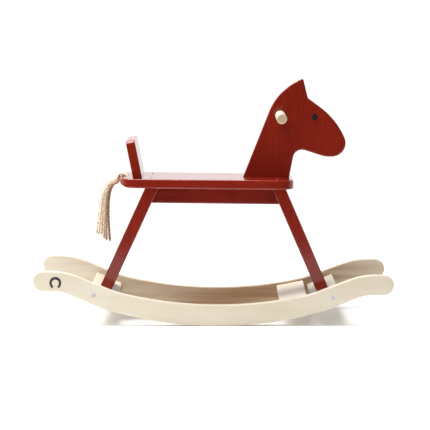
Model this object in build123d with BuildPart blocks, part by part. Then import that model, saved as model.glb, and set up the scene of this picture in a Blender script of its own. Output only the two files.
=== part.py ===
from build123d import *
from math import cos, radians, sin, sqrt, tan
import os

os.makedirs("parts", exist_ok=True)

# A wooden rocking horse, in millimetres. +X runs towards the nose, +Z up, and the origin is on the
# floor, under the middle of the horse. The horse is drawn level in its side plane, and that plane
# is turned to the angle at which the horse comes to rest on its curved rockers.

# ---- Driving dimensions ----
rest_tilt = 0.64            # nose-down angle at rest, degrees
board = 18.0                # thickness of the seat, backrest, head, rockers and cross boards
leg_board = 23.5            # thickness of the legs
edge_round = 2.5            # rounding of the boards' long edges
leg_round = 1.2             # the legs have crisper edges

half_width = 150.0          # outer face of a rocker
rocker_radius = 750.0       # rolling radius of the rockers' underside
under_turn, under_knee, under_bend = 15.5, 300.0, 85.0   # underside: rolling arc's turn, then radii
over_radius, over_turn, over_knee, over_bend = 795.0, 12.5, 200.0, 140.0   # the same of the top edge
rocker_depth = 40.7         # rocker depth at mid length
lobe_x, lobe_z = 330.8, 83.2   # centre of the round lobe at each rocker end
lobe_radius = 19.5
slope_under = 22.5          # slope of the underside towards the lobe, degrees
slope_over = 21.5           # slope of the top edge towards the lobe, degrees

splay = 24.0                # lean of the legs, degrees
leg_width = 140.0
front_foot = (216.2, 60.9)  # middle of the front leg's foot, on top of its crossbar
rear_foot = (-213.0, 59.1)
crossbar_width = 56.0
footrest_top = (156.0, 52.3)   # middle of the footrest's top face
footrest_tilt = 11.84

seat_under = 262.0          # height of the seat's underside
seat_top = seat_under + board
seat_rear, seat_front = -187.0, 155.0
seat_half_width = 94.5
seat_front_corner, seat_rear_corner = 30.0, 37.0
seat_top_round = 3.0        # rounding of the seat's top edge
upsweep_radius = 29.0       # rounding under the seat's rear end
upsweep_length = 22.0
rail_depth = 36.0

backrest_foot = (-151.0, seat_top)
backrest_lean = 12.0
backrest_height = 76.0
backrest_width = 155.0
backrest_corner = 12.0

neck_rear, neck_front = (56.2, seat_top), (147.9, seat_top)
crest_start, crest_radius, crest_turn = (106.3, 409.9), 116.6, 37.9
ear_tip, ear_tip_round = (172.8, 477.9), 4.0
ear_foot, ear_foot_round = (183.0, 438.2), 6.0
forehead_length, forehead_slope = 32.0, 36.0
muzzle_radius, muzzle_turn = 147.0, 30.0
nose_radius, nose_turn = 27.0, 106.0
chin_radius, chin_turn = 60.0, 24.5
throat, throat_round = (159.1, 340.4), 18.0

handle_at = (128.5, 403.0)
handle_radius, handle_length = 10.0, 280.0
eye_at = (197.2, 400.4)
eye_radius, eye_depth, eye_proud = 6.0, 3.0, 0.3

bolt_radius, bolt_head_radius, bolt_head_height = 2.5, 3.7, 3.0
bolt_length = 50.0
bolt_clearance, head_clearance, head_sink = 0.25, 0.3, 0.4
key_radius, key_depth = 1.75, 2.0   # hexagonal key socket of a bolt
nut_radius, nut_length, nut_inset, nut_clearance = 5.0, 12.0, 30.0, 0.1
bolt_offset, dowel_offset = 12.8, -13.2   # along the front crossbar, outwards from its middle
dowel_radius, dowel_length, dowel_chamfer = 4.0, 30.0, 0.8
dowel_depth = 12.0          # how far a dowel enters the rocker or the leg
footrest_dowel_spread = 14.0   # from the footrest's middle, both ways
screw_radius, screw_head_radius, screw_head_height = 2.2, 4.4, 2.6
screw_length = 50.0
socket_radius, socket_depth = 1.6, 1.4
seat_screw_x, seat_screw_y = 122.0, 54.0
seat_screw_lean = 15.0      # keeps the screws inside the leaning legs
leg_screw_y = 42.0
head_screw_x = (80.0, 110.0)
backrest_screw_y = 45.0

strand_radius = 2.6         # cotton strands of the tail
bore_lean = 45.0            # lean of the tail's bore, towards the rear
bore_size = (6.2, 34.4)     # along and across the seat
bore_corner = 2.9
bore_depth = 21.0
bore_mouth = (-178.9, 284.3)   # where the strands turn to the rear

# ---- The horse's side plane and the planes derived from it ----
lean_cos, lean_sin = cos(radians(rest_tilt)), sin(radians(rest_tilt))
side = Plane(
    origin=(-lobe_z * lean_sin, 0, rocker_radius * (1 - lean_cos)),
    x_dir=(lean_cos, 0, -lean_sin),
    z_dir=(0, -1, 0),
)


def side_point(x, z, y=0.0):
    """Point at x, z of the horse's side view, y to its left."""
    return side.from_local_coords((x, z, -y))


def level(height):
    """Plane parallel to the seat, facing up, with its own x towards the nose and y to the left."""
    return Plane(origin=side_point(0, height), x_dir=side.x_dir, z_dir=side.y_dir)


def leaning(x, z, lean, y=0.0):
    """Plane at a side-view point, whose normal leans from the horse's vertical towards the nose."""
    normal = side.x_dir * sin(radians(lean)) + side.y_dir * cos(radians(lean))
    return Plane(origin=side_point(x, z, y), x_dir=(0, 1, 0), z_dir=normal)


def across(x, z, y, towards):
    """Plane facing out sideways at a side-view point: towards is 1 for the left, -1 for the right."""
    return Plane(origin=side_point(x, z, y), x_dir=side.x_dir, z_dir=(0, towards, 0))


def shifted(point, along, away, angle):
    """Side-view point moved along a board's width and away from its face, the board tilted by angle."""
    c, s = cos(radians(angle)), sin(radians(angle))
    return (point[0] + along * c - away * s, point[1] + along * s + away * c)


def mirrored(point):
    """The same point on the rear half of the horse."""
    return (-point[0], point[1])


def screw_body(planes, mode=Mode.ADD):
    """Countersunk wood screws: head flush with each plane, shank going in against its normal."""
    into = (Align.CENTER, Align.CENTER, Align.MAX)
    with Locations(*planes):
        Cone(screw_radius, screw_head_radius, screw_head_height, align=into, mode=mode)
        Cylinder(screw_radius, screw_length, align=into, mode=mode)


def screw_sockets(planes):
    """Hexagonal drive sockets in the screw heads."""
    for plane in planes:
        with BuildSketch(plane) as socket:
            RegularPolygon(socket_radius, 6)
        extrude(socket.sketch, amount=-socket_depth, mode=Mode.SUBTRACT)


def pins(planes, radius, length, mode=Mode.ADD):
    """Round pins centred on the planes, along their normals."""
    with Locations(*planes):
        Cylinder(radius, length, mode=mode)


# ---- Places of the joints ----
front_crossbar_mid = shifted(front_foot, 0, -board / 2, splay)
rear_crossbar_mid = shifted(rear_foot, 0, -board / 2, -splay)
bolt_at = shifted(front_crossbar_mid, bolt_offset, 0, splay)
cross_dowel_at = shifted(front_crossbar_mid, dowel_offset, 0, splay)
footrest_mid = shifted(footrest_top, 0, -board / 2, footrest_tilt)
footrest_dowel_points = []
for along in (-footrest_dowel_spread, footrest_dowel_spread):
    footrest_dowel_points.append(shifted(footrest_mid, along, 0, footrest_tilt))

inner_face = half_width - board
dowel_mid = inner_face + dowel_depth - dowel_length / 2
bolt_points = [bolt_at, mirrored(bolt_at)]
cross_dowel_points = [cross_dowel_at, mirrored(cross_dowel_at)]

right_bolts = [across(x, z, -half_width, -1) for x, z in bolt_points]
left_bolts = [across(x, z, half_width, 1) for x, z in bolt_points]
right_cross_dowels = [across(x, z, -dowel_mid, -1) for x, z in cross_dowel_points]
left_cross_dowels = [across(x, z, dowel_mid, 1) for x, z in cross_dowel_points]
right_footrest_dowels = [across(x, z, -dowel_mid, -1) for x, z in footrest_dowel_points]
left_footrest_dowels = [across(x, z, dowel_mid, 1) for x, z in footrest_dowel_points]

leg_half = leg_board / 2 / cos(radians(splay))   # half a leg's thickness, measured level
rail_mid_z = seat_under - rail_depth / 2
nut_y = inner_face - nut_inset
nut_planes = []
leg_screw_planes = []
seat_screw_planes = []
rail_pin_planes = []
rail_ends = []
for way, foot, crossbar_mid in (
    (1, front_foot, front_crossbar_mid),
    (-1, rear_foot, rear_crossbar_mid),
):
    under = shifted(crossbar_mid, 0, -board / 2, way * splay)
    for y in (-nut_y, nut_y):
        nut_planes.append(leaning(way * bolt_at[0], bolt_at[1], -way * splay, y))
    for y in (-leg_screw_y, leg_screw_y):
        down = leaning(*under, -way * splay, y)
        leg_screw_planes.append(Plane(origin=down.origin, x_dir=down.x_dir, z_dir=-down.z_dir))
    for y in (-seat_screw_y, seat_screw_y):
        seat_screw_planes.append(leaning(way * seat_screw_x, seat_top, -way * seat_screw_lean, y))
    rail_end = foot[0] - way * ((rail_mid_z - foot[1]) * tan(radians(splay)) + leg_half)
    rail_ends.append(rail_end)
    axis = side.x_dir * (way * cos(radians(splay))) + side.y_dir * sin(radians(splay))
    middle = side_point(rail_end, rail_mid_z) + axis * (dowel_depth - dowel_length / 2)
    rail_pin_planes.append(Plane(origin=middle, x_dir=(0, 1, 0), z_dir=axis))

head_screw_planes = []
for x in head_screw_x:
    head_screw_planes.append(Plane(origin=side_point(x, seat_under), x_dir=(0, 1, 0), z_dir=-side.y_dir))
backrest_screw_planes = []
for y in (-backrest_screw_y, backrest_screw_y):
    x = backrest_foot[0] + board * tan(radians(backrest_lean))
    down = leaning(x, seat_under, -backrest_lean, y)
    backrest_screw_planes.append(Plane(origin=down.origin, x_dir=down.x_dir, z_dir=-down.z_dir))


# ---- Rockers ----
def rocker_edge(start, main_radius, main_turn, knee_radius, slope, bend_radius, end_z):
    """Half of a rocker's long edge: middle arc, knee, straight slope, then level into the lobe."""
    main = JernArc(start=start, tangent=(1, 0), radius=main_radius, arc_size=main_turn)
    knee = JernArc(start=main @ 1, tangent=main % 1, radius=knee_radius, arc_size=slope - main_turn)
    rise = end_z - bend_radius * (1 - cos(radians(slope))) - (knee @ 1).Y
    incline = PolarLine(start=knee @ 1, length=rise / sin(radians(slope)), angle=slope)
    bend = JernArc(start=incline @ 1, tangent=incline % 1, radius=bend_radius, arc_size=-slope)
    Line(bend @ 1, (lobe_x, end_z))


with BuildPart() as rocker_right:
    with BuildSketch(side.offset(inner_face)) as rocker_outline:
        with BuildLine():
            low, high = lobe_z - lobe_radius, lobe_z + lobe_radius
            rocker_edge((0, 0), rocker_radius, under_turn, under_knee, slope_under, under_bend, low)
            rocker_edge((0, rocker_depth), over_radius, over_turn, over_knee, slope_over, over_bend, high)
            JernArc((lobe_x, low), (1, 0), lobe_radius, 180)
            mirror(about=Plane.YZ)
        make_face()
    extrude(amount=board)
    outer_edges = rocker_right.faces().sort_by(Axis.Y)[0].edges()
    fillet(outer_edges + rocker_right.faces().sort_by(Axis.Y)[-1].edges(), edge_round)
    with Locations(*right_bolts):
        CounterBoreHole(
            bolt_radius + bolt_clearance,
            bolt_head_radius + head_clearance,
            bolt_head_height + head_sink,
            board,
        )
    pins(right_cross_dowels + right_footrest_dowels, dowel_radius, dowel_length, Mode.SUBTRACT)
rocker_right.part.label = "rocker_right"
export_step(rocker_right.part, "parts/rocker_right.step")

with BuildPart() as rocker_left:
    mirror(rocker_right.part, about=Plane.XZ)
rocker_left.part.label = "rocker_left"
export_step(rocker_left.part, "parts/rocker_left.step")

# ---- Boards between the rockers ----
for name, middle, tilt in (
    ("front_crossbar", front_crossbar_mid, splay),
    ("rear_crossbar", rear_crossbar_mid, -splay),
):
    with BuildPart() as crossbar:
        with BuildSketch(side):
            with Locations(middle):
                Rectangle(crossbar_width, board, rotation=tilt)
        extrude(amount=inner_face, both=True)
        fillet(crossbar.edges().filter_by(Axis.Y), edge_round)
        bolt_planes = []
        for plane in right_bolts + left_bolts:
            bolt_planes.append(plane.offset(-board - bolt_length / 2))
        pins(bolt_planes, bolt_radius + bolt_clearance, bolt_length, Mode.SUBTRACT)
        pins(right_cross_dowels + left_cross_dowels, dowel_radius, dowel_length, Mode.SUBTRACT)
        with Locations(*nut_planes):
            Cylinder(
                nut_radius + nut_clearance,
                nut_length / 2 + board,
                align=(Align.CENTER, Align.CENTER, Align.MAX),
                mode=Mode.SUBTRACT,
            )
            Cylinder(
                nut_radius + nut_clearance,
                nut_length / 2,
                align=(Align.CENTER, Align.CENTER, Align.MIN),
                mode=Mode.SUBTRACT,
            )
        screw_body(leg_screw_planes, Mode.SUBTRACT)
    crossbar.part.label = name
    export_step(crossbar.part, f"parts/{name}.step")

with BuildPart() as footrest:
    with BuildSketch(side):
        with Locations(footrest_mid):
            Rectangle(crossbar_width, board, rotation=footrest_tilt)
    extrude(amount=inner_face, both=True)
    fillet(footrest.edges().filter_by(Axis.Y), edge_round)
    pins(right_footrest_dowels + left_footrest_dowels, dowel_radius, dowel_length, Mode.SUBTRACT)
footrest.part.label = "footrest"
export_step(footrest.part, "parts/footrest.step")

# ---- Legs and rail ----
for name, way, foot in (("front_leg", 1, front_foot), ("rear_leg", -1, rear_foot)):
    with BuildPart() as leg:
        top_x = foot[0] - way * (seat_under - foot[1]) * tan(radians(splay))
        with BuildSketch(side):
            Polygon(
                shifted(foot, -leg_board / 2, 0, way * splay),
                shifted(foot, leg_board / 2, 0, way * splay),
                (top_x + leg_half, seat_under),
                (top_x - leg_half, seat_under),
                align=None,
            )
        extrude(amount=leg_width / 2, both=True)
        leg_axis = side.x_dir * (-way * sin(radians(splay))) + side.y_dir * cos(radians(splay))
        fillet(leg.edges().filter_by(Axis((0, 0, 0), leg_axis)), leg_round)
        screw_body(seat_screw_planes + leg_screw_planes, Mode.SUBTRACT)
        pins(rail_pin_planes, dowel_radius, dowel_length, Mode.SUBTRACT)
    leg.part.label = name
    export_step(leg.part, f"parts/{name}.step")

with BuildPart() as seat_rail:
    front_end, rear_end = rail_ends
    slant = rail_depth / 2 * tan(radians(splay))
    with BuildSketch(side):
        Polygon(
            (rear_end + slant, seat_under),
            (front_end - slant, seat_under),
            (front_end + slant, seat_under - rail_depth),
            (rear_end - slant, seat_under - rail_depth),
            align=None,
        )
    extrude(amount=board / 2, both=True)
    lower_face = seat_rail.faces().sort_by(Axis.Z)[0]
    fillet(lower_face.edges().filter_by(Axis((0, 0, 0), side.x_dir)), edge_round)
    pins(rail_pin_planes, dowel_radius, dowel_length, Mode.SUBTRACT)
seat_rail.part.label = "seat_rail"
export_step(seat_rail.part, "parts/seat_rail.step")

# ---- Seat ----
with BuildPart() as seat:
    with BuildSketch(level(seat_under)) as seat_plan:
        with Locations(((seat_rear + seat_front) / 2, 0)):
            Rectangle(seat_front - seat_rear, 2 * seat_half_width)
        fillet(seat_plan.vertices().filter_by_position(Axis.X, seat_front - 1, seat_front + 1),
               seat_front_corner)
        fillet(seat_plan.vertices().filter_by_position(Axis.X, seat_rear - 1, seat_rear + 1),
               seat_rear_corner)
    extrude(amount=board)
    fillet(seat.edges().group_by(Axis(side.origin, side.y_dir))[-1], seat_top_round)
    fillet(seat.edges().group_by(Axis(side.origin, side.y_dir))[0], edge_round)
    sweep_start = seat_rear + upsweep_length
    sweep_end_z = seat_under + upsweep_radius - sqrt(upsweep_radius**2 - upsweep_length**2)
    with BuildSketch(side):
        with BuildLine():
            rise = RadiusArc((sweep_start, seat_under), (seat_rear, sweep_end_z), upsweep_radius)
            Polyline(
                rise @ 1,
                (seat_rear - board, sweep_end_z),
                (seat_rear - board, seat_under - board),
                (sweep_start, seat_under - board),
                rise @ 0,
            )
        make_face()
    extrude(amount=half_width, both=True, mode=Mode.SUBTRACT)
    screw_body(seat_screw_planes + head_screw_planes + backrest_screw_planes, Mode.SUBTRACT)
    with BuildSketch(leaning(*bore_mouth, -bore_lean)) as bore:
        RectangleRounded(bore_size[1], bore_size[0], bore_corner)
    extrude(bore.sketch, amount=-bore_depth, mode=Mode.SUBTRACT)
seat.part.label = "seat"
export_step(seat.part, "parts/seat.step")

# ---- Backrest ----
with BuildPart() as backrest:
    lean_x = board / 2 / cos(radians(backrest_lean))
    top_mid = shifted(backrest_foot, 0, backrest_height, backrest_lean)
    with BuildSketch(side):
        Polygon(
            (backrest_foot[0] - lean_x, seat_top),
            (backrest_foot[0] + lean_x, seat_top),
            shifted(top_mid, board / 2, 0, backrest_lean),
            shifted(top_mid, -board / 2, 0, backrest_lean),
            align=None,
        )
    extrude(amount=backrest_width / 2, both=True)
    thickness_way = side.x_dir * cos(radians(backrest_lean)) + side.y_dir * sin(radians(backrest_lean))
    corner_edges = backrest.edges().filter_by(Axis((0, 0, 0), thickness_way))
    fillet(corner_edges.sort_by(Axis.Z)[-2:], backrest_corner)
    faces_out = backrest.faces().filter_by(Axis((0, 0, 0), thickness_way))
    rim = [edge for edge in faces_out.edges() if edge.center().Z > seat_top + board]
    fillet(rim, edge_round)
    screw_body(backrest_screw_planes, Mode.SUBTRACT)
backrest.part.label = "backrest"
export_step(backrest.part, "parts/backrest.step")

# ---- Head ----
with BuildPart() as head:
    with BuildSketch(side) as head_outline:
        with BuildLine():
            nape = Line(neck_rear, crest_start)
            crest = JernArc(nape @ 1, nape % 1, crest_radius, -crest_turn)
            Line(crest @ 1, ear_tip)
            Line(ear_tip, ear_foot)
            forehead = PolarLine(ear_foot, forehead_length, -forehead_slope)
            muzzle = JernArc(forehead @ 1, forehead % 1, muzzle_radius, -muzzle_turn)
            nose = JernArc(muzzle @ 1, muzzle % 1, nose_radius, -nose_turn)
            chin = JernArc(nose @ 1, nose % 1, chin_radius, -chin_turn)
            Line(chin @ 1, throat)
            Line(throat, neck_front)
            Line(neck_front, neck_rear)
        make_face()
        fillet(head_outline.vertices().sort_by_distance(ear_tip)[0], ear_tip_round)
        fillet(head_outline.vertices().sort_by_distance(ear_foot)[0], ear_foot_round)
        fillet(head_outline.vertices().sort_by_distance(throat)[0], throat_round)
    extrude(amount=board / 2, both=True)
    rim = [edge for edge in head.faces().filter_by(Axis.Y).edges() if edge.center().Z > seat_top + board]
    fillet(rim, edge_round)
    pins([across(*handle_at, 0, 1)], handle_radius, handle_length, Mode.SUBTRACT)
    for way in (-1, 1):
        pins([across(*eye_at, way * board / 2, way)], eye_radius, 2 * eye_depth, Mode.SUBTRACT)
    screw_body(head_screw_planes, Mode.SUBTRACT)
head.part.label = "head"
export_step(head.part, "parts/head.step")

with BuildPart() as handle:
    with BuildSketch(side):
        with Locations(handle_at):
            Circle(handle_radius)
    extrude(amount=handle_length / 2, both=True)
    fillet(handle.edges().filter_by(GeomType.CIRCLE), edge_round)
handle.part.label = "handle"
export_step(handle.part, "parts/handle.step")

with BuildPart() as eyes:
    for way in (-1, 1):
        middle_y = way * (board / 2 - eye_depth / 2 + eye_proud / 2)
        pins([across(*eye_at, middle_y, way)], eye_radius, eye_depth + eye_proud)
eyes.part.label = "eyes"
export_step(eyes.part, "parts/eyes.step")

# ---- Fasteners ----
with BuildPart() as rocker_bolts:
    for plane in right_bolts + left_bolts:
        with BuildSketch(plane.offset(-head_sink)) as bolt_head:
            Circle(bolt_head_radius)
        extrude(bolt_head.sketch, amount=-bolt_head_height)
        with BuildSketch(plane.offset(-head_sink - bolt_head_height)) as shank:
            Circle(bolt_radius)
        extrude(shank.sketch, amount=-bolt_length)
        with BuildSketch(plane.offset(-head_sink)) as key_socket:
            RegularPolygon(key_radius, 6)
        extrude(key_socket.sketch, amount=-key_depth, mode=Mode.SUBTRACT)
rocker_bolts.part.label = "rocker_bolts"
export_step(rocker_bolts.part, "parts/rocker_bolts.step")

with BuildPart() as barrel_nuts:
    pins(nut_planes, nut_radius, nut_length)
    pins(right_bolts + left_bolts, bolt_radius, 2 * half_width, Mode.SUBTRACT)
barrel_nuts.part.label = "barrel_nuts"
export_step(barrel_nuts.part, "parts/barrel_nuts.step")

for name, planes in (
    ("rocker_dowels", right_cross_dowels + left_cross_dowels),
    ("footrest_dowels", right_footrest_dowels + left_footrest_dowels),
    ("rail_dowels", rail_pin_planes),
):
    with BuildPart() as dowels:
        pins(planes, dowel_radius, dowel_length)
        chamfer(dowels.edges().filter_by(GeomType.CIRCLE), dowel_chamfer)
    dowels.part.label = name
    export_step(dowels.part, f"parts/{name}.step")

for name, planes in (
    ("seat_screws", seat_screw_planes),
    ("leg_screws", leg_screw_planes),
    ("head_screws", head_screw_planes),
    ("backrest_screws", backrest_screw_planes),
):
    with BuildPart() as screws:
        screw_body(planes)
        screw_sockets(planes)
    screws.part.label = name
    export_step(screws.part, f"parts/{name}.step")

# ---- Tail: six cotton strands side by side, glued in the leaning bore, over the rear end and down ----
# Each route starts inside the bore. Strand 1 is the rightmost on the horse, strand 6 the leftmost.
strand_routes = [
    [(-162.2, -13.75, 271.9), (-176.6, -13.75, 286.3), (-188.6, -13.75, 286.2), (-192.4, -13.4, 274.8),
     (-206.5, -12.8, 270.0), (-215.6, -12.2, 256.0), (-221.0, -11.6, 238.0), (-224.0, -11.2, 216.5),
     (-226.2, -11.4, 192.0), (-228.8, -12.0, 167.0)],
    [(-162.2, -8.25, 271.9), (-176.6, -8.25, 286.3), (-188.2, -8.25, 286.2), (-189.4, -8.0, 269.2),
     (-202.4, -7.6, 265.4), (-209.4, -7.2, 250.4), (-212.6, -6.8, 232.5), (-213.8, -6.4, 211.0),
     (-214.0, -6.6, 185.5), (-213.4, -7.2, 154.5)],
    [(-162.2, -2.75, 271.9), (-176.6, -2.75, 286.3), (-188.6, -2.75, 286.2), (-193.2, -2.6, 276.4),
     (-208.5, -2.4, 271.5), (-217.8, -2.2, 258.0), (-223.6, -2.0, 240.0), (-227.0, -1.6, 218.0),
     (-230.0, -1.8, 193.5), (-233.0, -2.4, 169.5)],
    [(-162.2, 2.75, 271.9), (-176.6, 2.75, 286.3), (-188.3, 2.75, 286.2), (-190.0, 2.7, 270.8),
     (-203.6, 2.5, 266.6), (-211.4, 2.3, 252.0), (-215.2, 2.1, 234.0), (-217.0, 2.0, 212.5),
     (-218.0, 2.2, 187.5), (-219.0, 1.6, 158.5)],
    [(-162.2, 8.25, 271.9), (-176.6, 8.25, 286.3), (-188.5, 8.25, 286.2), (-191.2, 8.1, 272.6),
     (-205.5, 7.9, 268.0), (-213.6, 7.6, 254.0), (-218.0, 7.3, 236.5), (-220.6, 7.0, 215.0),
     (-222.4, 7.0, 190.0), (-224.2, 7.2, 163.5)],
    [(-162.2, 13.75, 271.9), (-176.6, 13.75, 286.3), (-188.1, 13.75, 286.2), (-189.0, 13.4, 267.4),
     (-200.8, 12.9, 264.0), (-207.2, 12.4, 248.8), (-209.6, 12.0, 231.0), (-210.4, 11.6, 208.5),
     (-209.8, 11.2, 182.0), (-207.6, 10.6, 151.0)],
]
for number, route in enumerate(strand_routes, start=1):
    points = [Vector(*point) for point in route]
    runs = [(after - before) for before, after in zip(points, points[1:])]
    radii = []
    for before, after in zip(runs, runs[1:]):
        half_turn = radians(before.get_angle(after) / 2)
        radii.append(0.45 * min(before.length, after.length) / tan(half_turn))
    with BuildPart() as strand:
        with BuildLine() as strand_path:
            FilletPolyline(*points, radius=radii)
        with BuildSketch(Plane(origin=strand_path.line @ 0, z_dir=strand_path.line % 0)) as section:
            Circle(strand_radius)
        sweep(section.sketch, path=strand_path.line)
    strand.part.label = f"tail_strand_{number}"
    export_step(strand.part, f"parts/tail_strand_{number}.step")
    length = sum(edge.length for edge in strand_path.edges())
    share = strand.part.volume / (section.sketch.area * length)
    print(f"tail_strand_{number} length {length:.1f}, volume share {share:.3f},",
          "radii", [round(radius, 1) for radius in radii])
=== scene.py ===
"""Rocking horse: lacquered boards, pale wooden rockers and a twisted cotton tail, around the CAD frame."""
import math
import random

import bpy
import numpy as np
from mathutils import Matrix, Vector


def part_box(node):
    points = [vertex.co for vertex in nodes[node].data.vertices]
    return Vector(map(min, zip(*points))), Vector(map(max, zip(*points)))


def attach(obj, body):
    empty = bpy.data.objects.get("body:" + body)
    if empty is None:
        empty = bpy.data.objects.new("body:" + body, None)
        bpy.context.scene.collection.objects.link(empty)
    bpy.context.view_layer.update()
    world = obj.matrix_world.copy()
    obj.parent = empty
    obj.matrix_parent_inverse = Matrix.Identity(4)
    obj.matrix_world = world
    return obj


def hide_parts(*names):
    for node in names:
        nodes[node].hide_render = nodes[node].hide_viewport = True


MM = 0.001
FRAME_PX = 430              # width and height of the photograph's frame
SENSOR_MM = 36.0

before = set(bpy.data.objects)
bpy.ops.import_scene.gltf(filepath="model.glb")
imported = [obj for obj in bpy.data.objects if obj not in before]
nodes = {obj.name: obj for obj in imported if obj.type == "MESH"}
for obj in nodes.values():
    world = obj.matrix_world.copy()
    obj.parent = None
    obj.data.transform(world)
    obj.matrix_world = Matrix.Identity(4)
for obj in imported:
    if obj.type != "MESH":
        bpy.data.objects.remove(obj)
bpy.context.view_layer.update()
scene = bpy.context.scene


# ---- Camera ----
CAMERA_AT = (0.01293, -4.7752, 0.6467)
CAMERA_PITCH = 5.313        # degrees below the horizontal
CAMERA_YAW = 0.1216         # degrees towards -X
FOCAL_PX = 2406.2

camera_data = bpy.data.cameras.new("camera")
camera_data.sensor_width = SENSOR_MM
camera_data.lens = FOCAL_PX / FRAME_PX * SENSOR_MM
camera_data.clip_end = 60.0
camera = bpy.data.objects.new("camera", camera_data)
camera.location = CAMERA_AT
camera.rotation_euler = (math.radians(90 - CAMERA_PITCH), 0, math.radians(CAMERA_YAW))
scene.collection.objects.link(camera)
scene.camera = camera
scene.view_settings.view_transform = "Standard"
scene.view_settings.look = "None"


# ---- Helpers ----
def linear(red, green, blue):
    """sRGB values of 0 to 255 as a linear colour."""
    parts = []
    for value in (red, green, blue):
        c = value / 255
        parts.append(c / 12.92 if c <= 0.04045 else ((c + 0.055) / 1.055) ** 2.4)
    return (*parts, 1.0)


def add_mesh(name, vertices, faces, material, smooth=True):
    mesh = bpy.data.meshes.new(name)
    mesh.from_pydata([tuple(v) for v in vertices], [], faces)
    mesh.update()
    for polygon in mesh.polygons:
        polygon.use_smooth = smooth
    mesh.materials.append(material)
    piece = bpy.data.objects.new(name, mesh)
    scene.collection.objects.link(piece)
    return piece


class Nodes:
    """A short way to write a material's node tree."""

    def __init__(self, name):
        self.material = bpy.data.materials.new(name)
        self.material.use_nodes = True
        self.tree = self.material.node_tree
        self.tree.nodes.clear()
        self.shader = self.tree.nodes.new("ShaderNodeBsdfPrincipled")
        output = self.tree.nodes.new("ShaderNodeOutputMaterial")
        self.link(self.shader.outputs[0], output.inputs[0])
        self.coords = self.tree.nodes.new("ShaderNodeTexCoord")

    def link(self, source, target):
        self.tree.links.new(source, target)

    def set(self, **values):
        for name, value in values.items():
            self.shader.inputs[name.replace("_", " ").title().replace("Ior", "IOR")].default_value = value

    def plug(self, node, index, value):
        if hasattr(value, "is_output"):
            self.link(value, node.inputs[index])
        else:
            node.inputs[index].default_value = value

    def math(self, operation, a, b=0.0, clamp=False):
        node = self.tree.nodes.new("ShaderNodeMath")
        node.operation = operation
        node.use_clamp = clamp
        self.plug(node, 0, a)
        self.plug(node, 1, b)
        return node.outputs[0]

    def mapping(self, vector, scale=(1, 1, 1), location=(0, 0, 0), rotation=(0, 0, 0)):
        node = self.tree.nodes.new("ShaderNodeMapping")
        self.link(vector, node.inputs["Vector"])
        node.inputs["Scale"].default_value = scale
        node.inputs["Location"].default_value = location
        node.inputs["Rotation"].default_value = rotation
        return node.outputs[0]

    def noise(self, vector, scale, detail=3.0, roughness=0.5, distortion=0.0):
        node = self.tree.nodes.new("ShaderNodeTexNoise")
        self.link(vector, node.inputs["Vector"])
        node.inputs["Scale"].default_value = scale
        node.inputs["Detail"].default_value = detail
        node.inputs["Roughness"].default_value = roughness
        node.inputs["Distortion"].default_value = distortion
        return node.outputs["Fac"]

    def split(self, vector):
        node = self.tree.nodes.new("ShaderNodeSeparateXYZ")
        self.link(vector, node.inputs[0])
        return node.outputs

    def ramp(self, factor, stops):
        node = self.tree.nodes.new("ShaderNodeValToRGB")
        self.link(factor, node.inputs[0])
        elements = node.color_ramp.elements
        while len(elements) < len(stops):
            elements.new(0.5)
        for element, (place, colour) in zip(elements, stops):
            element.position = place
            element.color = colour if hasattr(colour, "__len__") else (colour, colour, colour, 1)
        return node.outputs[0]

    def mix(self, factor, a, b, blend="MIX"):
        node = self.tree.nodes.new("ShaderNodeMix")
        node.data_type = "RGBA"
        node.blend_type = blend
        self.plug(node, 0, factor)
        self.plug(node, 6, a)
        self.plug(node, 7, b)
        return node.outputs[2]

    def bump(self, height, strength, distance):
        node = self.tree.nodes.new("ShaderNodeBump")
        node.inputs["Strength"].default_value = strength
        node.inputs["Distance"].default_value = distance
        self.link(height, node.inputs["Height"])
        self.link(node.outputs[0], self.shader.inputs["Normal"])


# ---- Materials ----
WOOD_LIGHT = linear(214, 208, 192)
WOOD_MID = linear(207, 195, 172)
WOOD_LINE = linear(187, 164, 133)
RED_DEEP = linear(117, 24, 8)
RED_MID = linear(127, 28, 11)
RED_LIGHT = linear(142, 37, 17)


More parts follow.
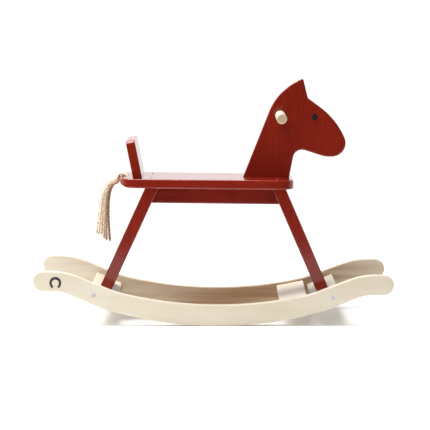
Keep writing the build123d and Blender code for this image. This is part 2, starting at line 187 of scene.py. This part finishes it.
def wood(name, grain, pith, seed, ring=3.4 * MM, warmth=0.0, heartwood_and_shade=None, painted_light_gain=1.0):
    """Pale clear-lacquered wood. grain is the axis the fibres follow, and pith a point that the tree's
    middle passes through, so that faces show long lines and ends show arcs of the same rings. The
    next to last argument gives the place, half length and strength of a browner patch along the board,
    partly heartwood and partly painted shade from the seat's shadow and its red bounce. The last
    argument makes a whole board paler or darker: painted light that lifts a board lying in shade."""
    m = Nodes(name)
    turn = {"X": (0, 0, 0), "Y": (0, 0, -math.pi / 2), "Z": (0, math.pi / 2, 0)}[grain]
    along = m.mapping(m.coords.outputs["Object"], rotation=turn)
    placed = m.mapping(along, location=[-value for value in pith])
    x, y, z = m.split(placed)
    drift = m.noise(m.mapping(placed, scale=(1.6, 7, 7), location=(seed, 0, 0)), 1.0, 2.0)
    drift = m.math("MULTIPLY", m.math("SUBTRACT", drift, 0.5), 26 * MM)
    waver = m.noise(m.mapping(placed, scale=(9, 60, 60), location=(seed, 3, 0)), 1.0, 2.0)
    waver = m.math("MULTIPLY", m.math("SUBTRACT", waver, 0.5), 2.2 * MM)
    radius = m.math("SQRT", m.math("ADD", m.math("MULTIPLY", y, y), m.math("MULTIPLY", z, z)))
    radius = m.math("ADD", m.math("ADD", radius, drift), waver)
    rings = m.math("FRACT", m.math("DIVIDE", radius, ring))
    band = m.ramp(rings, [(0.0, 0.0), (0.62, 0.22), (0.90, 0.85), (0.96, 1.0), (1.0, 0.0)])
    fibre = m.noise(m.mapping(placed, scale=(16, 1100, 1100), location=(seed, 0, 5)), 1.0, 3.0, 0.6)
    fleck = m.noise(m.mapping(placed, scale=(90, 1500, 1500), location=(seed, 7, 5)), 1.0, 1.0)
    fleck = m.ramp(fleck, [(0.0, 1.0), (0.27, 1.0), (0.33, 0.0), (1.0, 0.0)])
    cloud = m.noise(m.mapping(placed, scale=(5, 28, 28), location=(seed, 1, 2)), 1.0, 3.0)
    base = m.mix(m.ramp(cloud, [(0.3, 0.0), (0.7, 1.0)]), WOOD_LIGHT, WOOD_MID)
    lines = m.math("MULTIPLY", band, m.ramp(cloud, [(0.25, 0.16), (0.75, 0.42)]))
    colour = m.mix(lines, base, WOOD_LINE)
    streak = m.ramp(fibre, [(0.3, (0.93, 0.91, 0.88, 1)), (0.65, (1, 1, 1, 1))])
    colour = m.mix(0.8, colour, streak, "MULTIPLY")
    colour = m.mix(m.math("MULTIPLY", fleck, 0.16), colour, linear(190, 150, 104))
    # painted shade: the browner patch stands partly for heartwood and partly for the seat's shadow and red
    # bounce on the board's middle
    if heartwood_and_shade:
        middle, half, strength = heartwood_and_shade
        offset = m.math("DIVIDE", m.math("ABSOLUTE", m.math("SUBTRACT", x, middle)), half)
        flow = m.noise(m.mapping(placed, scale=(2.2, 46, 46), location=(seed, 9, 1)), 1.0, 3.0, 0.6)
        patch = m.math("SUBTRACT", m.math("ADD", flow, 0.5), offset, clamp=True)
        tone = m.mix(m.ramp(flow, [(0.36, 0.0), (0.60, 1.0)]), linear(228, 200, 168), linear(188, 148, 114))
        colour = m.mix(m.math("MULTIPLY", patch, strength, clamp=True), colour, tone, "MULTIPLY")
    if warmth:
        colour = m.mix(warmth, colour, linear(222, 176, 118), "MULTIPLY")
    # painted light: the whole board is made paler or darker to stand for how much light reaches it
    if painted_light_gain != 1.0:
        colour = m.mix(1.0, colour, (painted_light_gain, painted_light_gain, painted_light_gain, 1), "MULTIPLY")
    facing = m.split(m.mapping(m.coords.outputs["Normal"], rotation=turn))[0]
    end_grain = m.ramp(m.math("ABSOLUTE", facing), [(0.80, 0.0), (0.97, 0.8)])
    colour = m.mix(end_grain, colour, linear(222, 200, 168), "MULTIPLY")
    m.link(colour, m.shader.inputs["Base Color"])
    m.link(m.ramp(fibre, [(0.2, 0.46), (0.8, 0.36)]), m.shader.inputs["Roughness"])
    m.set(coat_weight=0.25, coat_roughness=0.3, specular_ior_level=0.45)
    m.bump(m.math("ADD", fibre, m.math("MULTIPLY", band, -0.6)), 0.25, 0.05 * MM)
    return m.material


def lacquer(name, grain, seed):
    """Semi-gloss red lacquer over a board: fine spray texture, and the fibres showing through faintly."""
    m = Nodes(name)
    place = m.mapping(m.coords.outputs["Object"], location=(seed, 0, 0))
    stretch = {"X": (14, 420, 420), "Y": (420, 14, 420), "Z": (420, 420, 14)}[grain]
    fibres = m.noise(m.mapping(place, scale=stretch), 1.0, 3.0, 0.6)
    cloud = m.noise(place, 14.0, 3.0)
    fine = m.noise(place, 650.0, 2.0, 0.55)
    colour = m.mix(m.ramp(cloud, [(0.3, 0.0), (0.7, 1.0)]), RED_DEEP, RED_MID)
    colour = m.mix(m.ramp(fibres, [(0.42, 0.0), (0.70, 0.55)]), colour, RED_LIGHT)
    m.link(colour, m.shader.inputs["Base Color"])
    m.link(m.ramp(fine, [(0.2, 0.22), (0.8, 0.30)]), m.shader.inputs["Roughness"])
    m.set(coat_weight=0.85, coat_roughness=0.11, coat_ior=1.45, specular_ior_level=0.12)
    m.bump(m.math("ADD", m.math("MULTIPLY", fine, 0.5), fibres), 0.25, 0.05 * MM)
    return m.material


def metal(name, colour, roughness):
    """Plated steel with fine turning marks and a slightly uneven plating."""
    m = Nodes(name)
    place = m.coords.outputs["Object"]
    fine = m.noise(m.mapping(place, scale=(1, 1, 4)), 1400.0, 2.0)
    cloud = m.noise(place, 260.0, 2.0)
    m.link(m.mix(m.ramp(cloud, [(0.3, 0.0), (0.7, 0.35)]), colour, linear(140, 138, 132)),
           m.shader.inputs["Base Color"])
    m.link(m.ramp(fine, [(0.2, roughness - 0.06), (0.8, roughness + 0.1)]), m.shader.inputs["Roughness"])
    m.set(metallic=1.0)
    m.bump(fine, 0.2, 0.02 * MM)
    return m.material


def black_paint(name):
    m = Nodes(name)
    place = m.coords.outputs["Object"]
    fine = m.noise(place, 900.0, 2.0)
    m.link(m.mix(m.ramp(fine, [(0.4, 0.0), (0.8, 1.0)]), linear(22, 20, 20), linear(38, 35, 34)),
           m.shader.inputs["Base Color"])
    m.link(m.ramp(fine, [(0.2, 0.24), (0.8, 0.36)]), m.shader.inputs["Roughness"])
    m.set(coat_weight=0.2, coat_roughness=0.2)
    m.bump(fine, 0.1, 0.02 * MM)
    return m.material


def cotton(name, tone):
    """Undyed cotton: fibres wind along each ply by the ply's own UV, with soft fuzz from sheen, and
    painted shade in the grooves between the threads. tone is how far the strand leans to brown,
    painted shade for a strand deep in the bundle's shadow."""
    m = Nodes(name)
    uv = m.coords.outputs["UV"]
    u, v, _ = m.split(uv)
    wind = m.math("ADD", m.math("MULTIPLY", u, 7.0), m.math("MULTIPLY", v, 520.0))
    thread = m.math("SINE", m.math("MULTIPLY", wind, 2 * math.pi))
    thread = m.math("MULTIPLY", m.math("ADD", thread, 1.0), 0.5)
    fuzz = m.noise(m.coords.outputs["Object"], 1900.0, 3.0, 0.6)
    cloud = m.noise(m.coords.outputs["Object"], 120.0, 2.0)
    height = m.math("ADD", m.math("MULTIPLY", thread, 0.6), fuzz)
    depth = m.math("MULTIPLY", height, 0.62)
    # painted shade: the cotton is darker in the grooves between threads and paler on their crowns
    shade = m.ramp(depth, [(0.12, linear(206, 186, 156)), (0.75, linear(248, 241, 224))])
    colour = m.mix(m.ramp(cloud, [(0.35, 0.0), (0.7, 0.35)]), shade, linear(228, 208, 176))
    # painted shade: the strand's tone browns it as if it lay in the bundle's shadow
    colour = m.mix(tone, colour, linear(190, 150, 118), "MULTIPLY")
    m.link(colour, m.shader.inputs["Base Color"])
    m.link(m.ramp(fuzz, [(0.2, 0.85), (0.8, 0.95)]), m.shader.inputs["Roughness"])
    m.set(sheen_weight=0.35, sheen_roughness=0.5, subsurface_weight=0.1)
    m.shader.inputs["Subsurface Radius"].default_value = (2 * MM, 1.4 * MM, 0.8 * MM)
    m.shader.inputs["Subsurface Scale"].default_value = 1.0
    m.bump(height, 0.7, 0.18 * MM)
    return m.material


RED_NODES = {"front_leg": "Z", "rear_leg": "Z", "seat_rail": "X", "seat": "X", "backrest": "Y", "head": "Z"}
for index, (name, grain) in enumerate(RED_NODES.items()):
    nodes[name].data.materials.clear()
    nodes[name].data.materials.append(lacquer(f"red_lacquer_{name}", grain, 3.1 * index))

# Pith points are in the material's own turned frame: the grain's axis first.
WOOD_NODES = {
    "rocker_right": ("X", (0.0, -0.190, -0.050), 1.7, {}),
    # painted shade: the far rocker's browner middle is partly heartwood, partly the seat's shadow
    "rocker_left": ("X", (0.0, 0.205, -0.040), 8.3, {"heartwood_and_shade": (0.06, 0.42, 1.0)}),
    "front_crossbar": ("Y", (0.0, -0.216, -0.020), 4.9, {}),
    "rear_crossbar": ("Y", (0.0, 0.216, -0.030), 12.1, {}),
    # painted light: the footrest is painted paler to lift the seat's shade over it
    "footrest": ("Y", (0.0, -0.170, -0.060), 15.4, {"painted_light_gain": 1.3}),
    "handle": ("Y", (0.0, -0.128, 0.401), 21.6, {"ring": 1.6 * MM}),
    "rocker_dowels": ("Y", (0.0, 0.0, 0.0), 31.0, {"warmth": 0.6}),
    "footrest_dowels": ("Y", (0.0, 0.0, 0.0), 33.0, {"warmth": 0.6}),
    "rail_dowels": ("X", (0.0, 0.0, 0.1), 35.0, {"warmth": 0.6}),
}
for name, (grain, pith, seed, extras) in WOOD_NODES.items():
    nodes[name].data.materials.clear()
    nodes[name].data.materials.append(wood(f"wood_{name}", grain, pith, seed, **extras))

zinc = metal("zinc_plate", linear(206, 208, 212), 0.32)
steel = metal("passivated_steel", linear(196, 186, 160), 0.38)
black = black_paint("black_paint")
for name, material in (
    ("rocker_bolts", zinc),
    ("barrel_nuts", zinc),
    ("seat_screws", steel),
    ("leg_screws", steel),
    ("head_screws", steel),
    ("backrest_screws", steel),
    ("eyes", black),
):
    nodes[name].data.materials.clear()
    nodes[name].data.materials.append(material)


# ---- Tail: six strands of three twisted plies ----
STRAND_RADIUS = 2.6 * MM
PLY_RADIUS = 1.32 * MM
PLY_ORBIT = STRAND_RADIUS - PLY_RADIUS
TWIST_PITCH = 15.0 * MM
RING_POINTS = 10
STEP = 0.9 * MM
LOOSE_LENGTH = 16.0 * MM    # the plies open up over this length before the cut end
HAIRS_PER_PLY = 12
HAIR_RADII = (0.26 * MM, 0.24 * MM, 0.18 * MM, 0.07 * MM)
TAIL_SEED = 11

# How far each strand's cotton is browned, from strand 1 on the right to strand 6 on the left: painted shade
# for strands lying in the bundle's shadow.
STRAND_PAINTED_SHADE = (0.0, 0.75, 0.05, 0.2, 0.1, 0.8)

# The routes of the CAD tubes, in millimetres, from inside the bore to the cut end.
STRAND_ROUTES = [
    [(-162.2, -13.75, 271.9), (-176.6, -13.75, 286.3), (-188.6, -13.75, 286.2), (-192.4, -13.4, 274.8),
     (-206.5, -12.8, 270.0), (-215.6, -12.2, 256.0), (-221.0, -11.6, 238.0), (-224.0, -11.2, 216.5),
     (-226.2, -11.4, 192.0), (-228.8, -12.0, 167.0)],
    [(-162.2, -8.25, 271.9), (-176.6, -8.25, 286.3), (-188.2, -8.25, 286.2), (-189.4, -8.0, 269.2),
     (-202.4, -7.6, 265.4), (-209.4, -7.2, 250.4), (-212.6, -6.8, 232.5), (-213.8, -6.4, 211.0),
     (-214.0, -6.6, 185.5), (-213.4, -7.2, 154.5)],
    [(-162.2, -2.75, 271.9), (-176.6, -2.75, 286.3), (-188.6, -2.75, 286.2), (-193.2, -2.6, 276.4),
     (-208.5, -2.4, 271.5), (-217.8, -2.2, 258.0), (-223.6, -2.0, 240.0), (-227.0, -1.6, 218.0),
     (-230.0, -1.8, 193.5), (-233.0, -2.4, 169.5)],
    [(-162.2, 2.75, 271.9), (-176.6, 2.75, 286.3), (-188.3, 2.75, 286.2), (-190.0, 2.7, 270.8),
     (-203.6, 2.5, 266.6), (-211.4, 2.3, 252.0), (-215.2, 2.1, 234.0), (-217.0, 2.0, 212.5),
     (-218.0, 2.2, 187.5), (-219.0, 1.6, 158.5)],
    [(-162.2, 8.25, 271.9), (-176.6, 8.25, 286.3), (-188.5, 8.25, 286.2), (-191.2, 8.1, 272.6),
     (-205.5, 7.9, 268.0), (-213.6, 7.6, 254.0), (-218.0, 7.3, 236.5), (-220.6, 7.0, 215.0),
     (-222.4, 7.0, 190.0), (-224.2, 7.2, 163.5)],
    [(-162.2, 13.75, 271.9), (-176.6, 13.75, 286.3), (-188.1, 13.75, 286.2), (-189.0, 13.4, 267.4),
     (-200.8, 12.9, 264.0), (-207.2, 12.4, 248.8), (-209.6, 12.0, 231.0), (-210.4, 11.6, 208.5),
     (-209.8, 11.2, 182.0), (-207.6, 10.6, 151.0)],
]


def spline_line(route):
    """Evenly spaced points of the smooth curve that has the route's points as control points."""
    curve = bpy.data.curves.new("route", "CURVE")
    curve.dimensions = "3D"
    curve.resolution_u = 24
    spline = curve.splines.new("NURBS")
    spline.points.add(len(route) - 1)
    for point, place in zip(spline.points, route):
        point.co = (*(value * MM for value in place), 1.0)
    spline.order_u = 3
    spline.use_endpoint_u = True
    holder = bpy.data.objects.new("route", curve)
    scene.collection.objects.link(holder)
    bpy.context.view_layer.update()
    mesh = bpy.data.meshes.new_from_object(holder)
    points = np.array([vertex.co for vertex in mesh.vertices])
    bpy.data.objects.remove(holder)
    bpy.data.curves.remove(curve)
    bpy.data.meshes.remove(mesh)
    gaps = np.linalg.norm(np.diff(points, axis=0), axis=1)
    reach = np.concatenate([[0], np.cumsum(gaps)])
    places = np.linspace(0, reach[-1], max(2, round(reach[-1] / STEP)))
    return np.column_stack([np.interp(places, reach, points[:, axis]) for axis in range(3)]), reach[-1]


def carried_frames(line):
    """Unit tangents of a line, with two unit normals carried along it without twist."""
    tangents = np.gradient(line, axis=0)
    tangents /= np.linalg.norm(tangents, axis=1)[:, None]
    first = np.cross(tangents[0], (0.0, 1.0, 0.0))
    normals = [first / np.linalg.norm(first)]
    for tangent in tangents[1:]:
        normal = normals[-1] - np.dot(normals[-1], tangent) * tangent
        normals.append(normal / np.linalg.norm(normal))
    normals = np.array(normals)
    return tangents, normals, np.cross(tangents, normals)


def tube(line, radii, ring_points, vertices, faces, uvs):
    """Adds a closed tube along a line, with UVs round and along it."""
    tangents, first, second = carried_frames(line)
    start = len(vertices)
    reach = np.concatenate([[0], np.cumsum(np.linalg.norm(np.diff(line, axis=0), axis=1))])
    for centre, radius, a, b in zip(line, radii, first, second):
        for k in range(ring_points):
            angle = 2 * math.pi * k / ring_points
            vertices.append(centre + radius * (math.cos(angle) * a + math.sin(angle) * b))
    for i in range(len(line) - 1):
        for k in range(ring_points):
            after = (k + 1) % ring_points
            low, high = start + i * ring_points, start + (i + 1) * ring_points
            faces.append((low + k, low + after, high + after, high + k))
            u0, u1 = k / ring_points, (k + 1) / ring_points
            uvs.append(((u0, reach[i]), (u1, reach[i]), (u1, reach[i + 1]), (u0, reach[i + 1])))
    last = start + (len(line) - 1) * ring_points
    faces.append(tuple(start + k for k in reversed(range(ring_points))))
    uvs.append(tuple((0.0, 0.0) for _ in range(ring_points)))
    faces.append(tuple(last + k for k in range(ring_points)))
    uvs.append(tuple((0.0, float(reach[-1])) for _ in range(ring_points)))


def twisted_strand(number, route, rng):
    """One strand: three plies wound round the route, opened and frayed at the cut end."""
    line, length = spline_line(route)
    tangents, first, second = carried_frames(line)
    reach = np.linspace(0, length, len(line))
    loosen = np.clip((reach - (length - LOOSE_LENGTH)) / LOOSE_LENGTH, 0, 1)
    vertices, faces, uvs = [], [], []
    start_angle = rng.uniform(0, 2 * math.pi)
    slack = 1 + 0.05 * np.sin(reach * 55 + rng.uniform(0, 6))
    for ply in range(3):
        angle = start_angle + 2 * math.pi * ply / 3 + 2 * math.pi * reach / TWIST_PITCH
        orbit = PLY_ORBIT * slack * (1 + 0.25 * loosen)
        offset = np.cos(angle)[:, None] * first + np.sin(angle)[:, None] * second
        ply_line = line + orbit[:, None] * offset
        cut = len(line) - round(rng.uniform(0, 1.8) * MM / STEP)
        ply_radii = PLY_RADIUS * (1 + 0.03 * np.sin(reach * 900 + ply)) * (1 - 0.18 * loosen)
        tube(ply_line[:cut], ply_radii[:cut], RING_POINTS, vertices, faces, uvs)
        end, way = ply_line[cut - 1], tangents[cut - 1]
        for _ in range(HAIRS_PER_PLY):
            spread = rng.uniform(0, 0.75) * PLY_RADIUS
            turn = rng.uniform(0, 2 * math.pi)
            root = end + spread * (math.cos(turn) * first[cut - 1] + math.sin(turn) * second[cut - 1])
            out = spread * 1.1 * (math.cos(turn) * first[cut - 1] + math.sin(turn) * second[cut - 1])
            reach_out = rng.uniform(1.4, 3.6) * MM
            hairs = [root - way * 2 * MM, root, root + way * reach_out * 0.5 + out * 0.5,
                     root + way * reach_out + out * rng.uniform(0.6, 1.3)]
            tube(np.array(hairs), HAIR_RADII, 5, vertices, faces, uvs)
    shade = cotton(f"cotton_strand_{number}", STRAND_PAINTED_SHADE[number - 1])
    strand = add_mesh(f"cotton_strand_{number}", vertices, faces, shade)
    layer = strand.data.uv_layers.new(name="UVMap")
    for polygon, corners in zip(strand.data.polygons, uvs):
        for loop, corner in zip(polygon.loop_indices, corners):
            layer.data[loop].uv = corner
    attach(strand, "root")
    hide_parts(f"tail_strand_{number}")


dice = random.Random(TAIL_SEED)
for number, route in enumerate(STRAND_ROUTES, start=1):
    twisted_strand(number, route, dice)


# ---- Printed mark on the right rocker's rear lobe: a plain horseshoe ----
MARK_CENTRE = (-0.306, 0.0847)
MARK_OUTER, MARK_INNER = 11.5 * MM, 6.2 * MM
MARK_OPENING = 62.0         # degrees left open at the bottom
MARK_FILM = 0.12 * MM
MARK_HEEL = 1.4 * MM        # how much thinner the shoe gets at its heels
MARK_STRETCH = 1.12         # the lower half is longer than a circle
MARK_STEPS = 40


def horseshoe_mark():
    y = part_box("rocker_right")[0].y
    vertices, faces = [], []
    for side_y in (y - MARK_FILM, y + MARK_FILM):
        for i in range(MARK_STEPS + 1):
            share = i / MARK_STEPS
            angle = math.radians(-90 + MARK_OPENING / 2 + share * (360 - MARK_OPENING))
            heel = MARK_HEEL * abs(2 * share - 1) ** 2
            for radius in (MARK_INNER + heel, MARK_OUTER):
                stretch = MARK_STRETCH if math.sin(angle) < 0 else 1.0
                vertices.append((MARK_CENTRE[0] + radius * math.cos(angle), side_y,
                                 MARK_CENTRE[1] + radius * math.sin(angle) * stretch))
    back = 2 * (MARK_STEPS + 1)
    end = 2 * MARK_STEPS
    for i in range(MARK_STEPS):
        a, b, c, d = 2 * i, 2 * i + 1, 2 * i + 3, 2 * i + 2
        faces.append((a, d, c, b))
        faces.append((back + a, back + b, back + c, back + d))
        faces.append((a, back + a, back + d, d))
        faces.append((b, c, back + c, back + b))
    faces.append((0, 1, back + 1, back))
    faces.append((end, back + end, back + end + 1, end + 1))
    mark = add_mesh("printed_mark", vertices, faces, black, smooth=False)
    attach(mark, "root")


horseshoe_mark()


# ---- Floor, surroundings and lights ----
FLOOR_RADIUS = 1.3
FLOOR_SIDES = 96
floor_nodes = Nodes("floor_white")
dust = floor_nodes.noise(floor_nodes.coords.outputs["Object"], 3.0)
floor_nodes.link(floor_nodes.ramp(dust, [(0.3, 0.90), (0.7, 0.92)]), floor_nodes.shader.inputs["Base Color"])
floor_nodes.set(roughness=0.75, specular_ior_level=0.2, emission_strength=0.12)
floor_nodes.shader.inputs["Emission Color"].default_value = (1, 1, 1, 1)
floor_rim = []
for k in range(FLOOR_SIDES):
    angle = 2 * math.pi * k / FLOOR_SIDES
    floor_rim.append((FLOOR_RADIUS * math.cos(angle), FLOOR_RADIUS * math.sin(angle), 0))
floor = add_mesh("floor", floor_rim, [tuple(range(FLOOR_SIDES))], floor_nodes.material, smooth=False)

# The room: a white backdrop behind and above, a dim side behind the camera, and a white view for the eye.
AMBIENT = 0.40
BACKDROP = 1.0
DIM_SIDE = 0.05
FADE = 0.35                 # how gradually the dim side gives way to the backdrop
SEEN_WHITE = 1.1
world = bpy.data.worlds.new("studio")
world.use_nodes = True
scene.world = world
world_tree = world.node_tree
world_tree.nodes.clear()


def backdrop(colour, strength):
    node = world_tree.nodes.new("ShaderNodeBackground")
    node.inputs["Color"].default_value = colour
    if hasattr(strength, "is_output"):
        world_tree.links.new(strength, node.inputs["Strength"])
    else:
        node.inputs["Strength"].default_value = strength
    return node.outputs[0]


def either(factor, first, second):
    node = world_tree.nodes.new("ShaderNodeMixShader")
    for socket, source in zip(node.inputs, (factor, first, second)):
        world_tree.links.new(source, socket)
    return node.outputs[0]


way = world_tree.nodes.new("ShaderNodeTexCoord").outputs["Generated"]
split = world_tree.nodes.new("ShaderNodeSeparateXYZ")
world_tree.links.new(way, split.inputs[0])
depth_part = world_tree.nodes.new("ShaderNodeMapRange")
depth_part.interpolation_type = "SMOOTHSTEP"
world_tree.links.new(split.outputs["Y"], depth_part.inputs["Value"])
for name, value in (("From Min", -FADE), ("From Max", FADE), ("To Min", DIM_SIDE), ("To Max", BACKDROP)):
    depth_part.inputs[name].default_value = value
rays = world_tree.nodes.new("ShaderNodeLightPath").outputs
soft_light = backdrop((1.0, 0.99, 0.975, 1), AMBIENT)
mirrored_room = backdrop((1.0, 0.99, 0.98, 1), depth_part.outputs["Result"])
seen = backdrop((1, 1, 1, 1), SEEN_WHITE)
surroundings = either(rays["Is Glossy Ray"], soft_light, mirrored_room)
surroundings = either(rays["Is Camera Ray"], surroundings, seen)
world_tree.links.new(surroundings, world_tree.nodes.new("ShaderNodeOutputWorld").inputs[0])


def softbox(name, place, target, size, power, mirrored=True):
    data = bpy.data.lights.new(name, "AREA")
    data.shape = "RECTANGLE"
    data.size, data.size_y = size
    data.energy = power
    light = bpy.data.objects.new(name, data)
    light.location = place
    light.rotation_euler = (Vector(target) - Vector(place)).to_track_quat("-Z", "Y").to_euler()
    light.visible_glossy = mirrored
    scene.collection.objects.link(light)


softbox("overhead", (-0.9, 0.1, 2.6), (0, 0, 0.1), (2.4, 2.0), 155)
softbox("front", (-0.4, -3.0, 1.55), (0, 0, 0.25), (0.6, 0.6), 6, mirrored=False)
softbox("left", (-2.6, -1.6, 1.3), (0, 0, 0.2), (1.6, 1.6), 7, mirrored=False)
